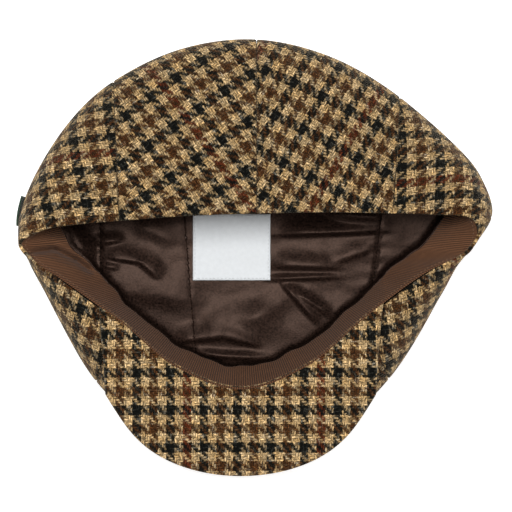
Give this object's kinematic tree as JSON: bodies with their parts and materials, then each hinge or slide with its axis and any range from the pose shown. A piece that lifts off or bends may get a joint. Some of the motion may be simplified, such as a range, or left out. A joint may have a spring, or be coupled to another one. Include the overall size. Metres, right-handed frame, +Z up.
{
  "type": "flat cap",
  "caption": "Tweed flat cap in houndstooth check, lying on its crown with the opening up, with a stiff peak, ribbed sweatband, satin lining and a bare label.",
  "frame": {"origin": "middle of the box the cap fills, on the plane its crown rests on", "axes": "+Z up out of the opening, +Y toward the back of the cap, -Y toward the peak, +X to the right in the picture"},
  "size_m": [0.2709, 0.2486, 0.0471],
  "materials": {
    "tweed": "woven wool, matt",
    "satin": "satin",
    "ribbon": "ribbed, half matt",
    "label_cloth": "woven, half matt",
    "tab_cloth": "woven, half matt"
  },
  "bodies": {
    "root": {"panel_back_right": "tweed", "panel_side_right": "tweed", "panel_front_side_right": "tweed", "panel_front_right": "tweed", "panel_front_left": "tweed", "panel_front_side_left": "tweed", "panel_side_left": "tweed", "panel_back_left": "tweed", "peak": "tweed", "sweatband": "ribbon", "lining_left": "satin", "lining_mid_left": "satin", "lining_mid_right": "satin", "lining_right": "satin", "label": "label_cloth", "side_tab": "tab_cloth"}
  },
  "joints": []
}
